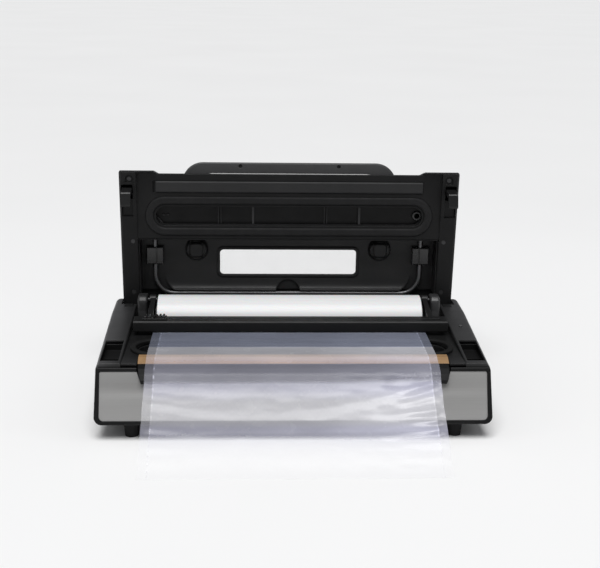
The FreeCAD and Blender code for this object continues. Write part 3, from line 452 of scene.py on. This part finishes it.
def film_line(step):
    """Side view of the web (datum millimetres): off the underside of the roll, under the cutter bar, over the
    trough, the strip and the ramp, then free down to the table. Sampled evenly along its length."""
    ry, rz, fr = 62.0, -5.0, 30.4
    lead = (21.5, -1.8)
    dl = math.hypot(ry - lead[0], rz - lead[1])
    tang = math.pi - math.atan2(lead[1] - rz, ry - lead[0]) + math.acos(fr / dl)
    pts = [(ry + fr * math.cos(tang + math.radians(a)), rz + fr * math.sin(tang + math.radians(a))) for a in (28, 21, 14, 7, 0)]
    pts += [lead, (18.5, -0.3), (13.0, 0.2), (0.0, 0.25), (-18.0, 0.55), (-68.0, 0.6), (-77.4, 0.6), (-86.6, -3.3), (-94.4, -5.1),
            (-101.9, -9.3), (-106.4, -15.2), (-112.0, -19.6), (-143.0, -41.4), (-161.5, -51.6), (-180.0, -62.6),
            (-192.0, -70.6), (-198.0, -74.2), (-205.0, -75.7)]

    def even(p, d):
        out, left = [p[0]], d
        for a, b in zip(p, p[1:]):
            n = math.hypot(b[0] - a[0], b[1] - a[1])
            t = left
            while t <= n:
                out.append((a[0] + (b[0] - a[0]) * t / n, a[1] + (b[1] - a[1]) * t / n))
                t += d
            left = t - n
        return out
    fine = even(pts, 0.5)
    soft = []
    for k in range(len(fine)):
        w = min(5, k, len(fine) - 1 - k)
        q = fine[k - w:k + w + 1]
        soft.append((sum(a for a, _ in q) / len(q), sum(b for _, b in q) / len(q)))
    return even(soft, step)


# folds that start at a side seam: (side, start along the film from the ramp's lip, height, drift, reach, width)
FOLDS = [(1, -6.0, 0.7, 0.10, 60.0, 5.5), (1, 8.0, 1.5, 0.34, 75.0, 5.0), (1, 24.0, 0.8, 0.22, 46.0, 4.6), (1, 39.0, 2.2, 0.14, 34.0, 4.6),
         (1, 51.0, 1.6, 0.08, 26.0, 4.2), (1, 62.0, 1.5, 0.14, 36.0, 4.8), (1, 78.0, 0.8, 0.10, 44.0, 5.2), (1, 92.0, 0.5, 0.06, 40.0, 5.5),
         (-1, 8.0, 0.55, 0.12, 95.0, 5.0), (-1, 31.0, 0.4, 0.16, 60.0, 4.6), (-1, 60.0, 0.55, 0.10, 44.0, 4.4),
         (-1, 82.0, 0.4, 0.05, 50.0, 5.4)]


def film_height(x, y, s):
    """How far the film stands off its line at x across and s along (millimetres); y is the depth there."""
    v = Vector((x / 26.0, s / 15.0, 1.7))
    d = 0.16 * noise.noise(v) + 0.10 * noise.noise(v * 2.3)
    free = smooth(-98.0, -122.0, y)
    ramp = smooth(-82.0, -92.0, y) * (1.0 - 0.5 * smooth(-106.0, -124.0, y))
    right = smooth(20.0, 128.0, x)
    d += ramp * right * (1.1 + 0.9 * noise.noise(Vector((x / 22.0, s / 8.0, 9.0))))
    f = 0.0
    for side, s0, high, drift, reach, width in FOLDS:
        q = 140.0 - side * x
        fade = math.exp(-q / reach) if q > 0 else math.exp(-(q / 5.0) ** 2)
        e = (s - s0 - drift * max(q, 0.0) + 0.0009 * max(q, 0.0) ** 2 - 1.6 * noise.noise(Vector((x / 30.0, s0, 4.0)))) / (width * (0.8 + 0.006 * max(q, 0.0)))
        f += high * fade * (math.exp(-e * e) - 0.62 * math.exp(-(e - 1.7) ** 2))
    d += (0.25 * ramp + free) * f
    d += free * (0.45 * noise.noise(Vector((x / 60.0, s / 34.0, 5.0))) + 0.22 * noise.noise(Vector((x / 21.0, s / 17.0, 7.0))))
    edge = smooth(139.5, 141.5, abs(x))
    d += edge * 0.10 * math.sin(s * 1.9 + 3.0 * noise.noise(Vector((s / 9.0, x / 50.0, 2.0))))
    if y > -108.0:
        d = max(d, -0.12)
    low = smooth(-186.0, -200.0, y)
    return d * (1.0 - low) + low * max(0.0, d) * 0.7


def make_film():
    line = film_line(1.25)
    nx = 200
    k0 = min(range(len(line)), key=lambda k: abs(line[k][0] + 104.0))
    bm = bmesh.new()
    rows = []
    for k, (y, z) in enumerate(line):
        a, b = line[max(0, k - 1)], line[min(len(line) - 1, k + 1)]
        ty, tz = b[0] - a[0], b[1] - a[1]
        n = math.hypot(ty, tz)
        ny, nz = tz / n, -ty / n
        s = (k - k0) * 1.25
        row = []
        for i in range(nx + 1):
            x = -FILM_HW + 2.0 * FILM_HW * i / nx
            d = 0.25 + film_height(x, y, s)
            if y > 5.0:
                d = 0.25
            wave = 0.7 * noise.noise(Vector((s / 22.0, 3.0 + (x > 0), 0.0))) * smooth(-60.0, -120.0, y) * smooth(0.6, 1.0, abs(x) / FILM_HW)
            row.append(bm.verts.new(P(x + FILM_SHIFT + wave, y + ny * d, max(z + nz * d, -75.6))))
        rows.append(row)
    for r0, r1 in zip(rows, rows[1:]):
        for i in range(nx):
            bm.faces.new((r0[i], r1[i], r1[i + 1], r0[i + 1])).smooth = True
    me = bpy.data.meshes.new("film_sheet")
    bm.to_mesh(me)
    bm.free()
    o = bpy.data.objects.new("film_sheet", me)
    COL.objects.link(o)
    me.materials.append(M["film"])
    o.visible_shadow = False            # thin clear film: the light below it is hardly changed
    o.visible_diffuse = False
    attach(o, "base")
    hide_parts("film_web")


make_film()


# ------------------------------------------------------------ camera and light
def make_camera():
    cam = bpy.data.cameras.new("camera")
    cam.sensor_fit = "HORIZONTAL"
    cam.sensor_width = 36.0
    cam.lens = 65.0
    cam.clip_start, cam.clip_end = 0.02, 200.0
    o = bpy.data.objects.new("camera", cam)
    COL.objects.link(o)
    yaw, pitch, roll = math.radians(2.727), math.radians(16.087), math.radians(0.887)
    r = Vector((math.cos(yaw), -math.sin(yaw), 0))
    f = Vector((math.sin(yaw) * math.cos(pitch), math.cos(yaw) * math.cos(pitch), -math.sin(pitch)))
    u = Vector((math.sin(yaw) * math.sin(pitch), math.cos(yaw) * math.sin(pitch), math.cos(pitch)))
    r2 = math.cos(roll) * r + math.sin(roll) * u
    u2 = -math.sin(roll) * r + math.cos(roll) * u
    m = Matrix((r2, u2, -f)).transposed().to_4x4()
    m.translation = Vector((-0.04514, -1.09240, 0.45835))
    o.matrix_world = m
    SC.camera = o


make_camera()


def area(name, loc, target, size, power, colour=(1, 1, 1)):
    l = bpy.data.lights.new(name, "AREA")
    l.shape = "RECTANGLE"
    l.size, l.size_y = size
    l.energy = power
    l.color = colour
    o = bpy.data.objects.new(name, l)
    COL.objects.link(o)
    o.location = loc
    o.rotation_mode = "QUATERNION"
    o.rotation_quaternion = (Vector(target) - Vector(loc)).to_track_quat("-Z", "Y")
    return o


def sun(name, direction, strength, angle):
    l = bpy.data.lights.new(name, "SUN")
    l.energy = strength
    l.angle = math.radians(angle)
    o = bpy.data.objects.new(name, l)
    COL.objects.link(o)
    o.rotation_mode = "QUATERNION"
    o.rotation_quaternion = Vector(direction).to_track_quat("-Z", "Y")
    return o


def make_world():
    w = bpy.data.worlds.new("studio")
    w.use_nodes = True
    bg = w.node_tree.nodes["Background"]
    bg.inputs["Color"].default_value = (0.93, 0.94, 0.96, 1.0)
    bg.inputs["Strength"].default_value = 0.24
    SC.world = w


make_world()
sun("overhead", (0.05, 0.36, -1.0), 2.60, 40.0)
area("top_box", (0.0, -0.15, 1.25), (0, 0.02, 0.1), (1.3, 0.8), 0.7)
area("left_box", (-1.15, -0.35, 0.75), (0, 0.0, 0.1), (0.4, 1.0), 1.0)
area("right_box", (1.15, -0.25, 0.75), (0, 0.0, 0.1), (0.4, 1.0), 1.2)


def make_floor():
    bm = bmesh.new()
    n = 24
    size = 60.0
    rows = []
    for j in range(n + 1):
        row = []
        for i in range(n + 1):
            row.append(bm.verts.new((-size / 2 + size * i / n, -size / 2 + size * j / n, 0.0)))
        rows.append(row)
    for j in range(n):
        for i in range(n):
            bm.faces.new((rows[j][i], rows[j][i + 1], rows[j + 1][i + 1], rows[j + 1][i]))
    me = bpy.data.meshes.new("floor")
    bm.to_mesh(me)
    bm.free()
    o = bpy.data.objects.new("floor", me)
    COL.objects.link(o)
    t = Tree("pale_floor")
    t.use("Base Color", t.ramp(t.noise(1.5, 3.0), [(0.3, (0.85, 0.85, 0.85)), (0.7, (0.87, 0.87, 0.87))]))
    t.set(Roughness=0.75, Specular_IOR_Level=0.2)
    me.materials.append(t.m)


make_floor()
SC.view_settings.view_transform = "Standard"
SC.view_settings.look = "None"
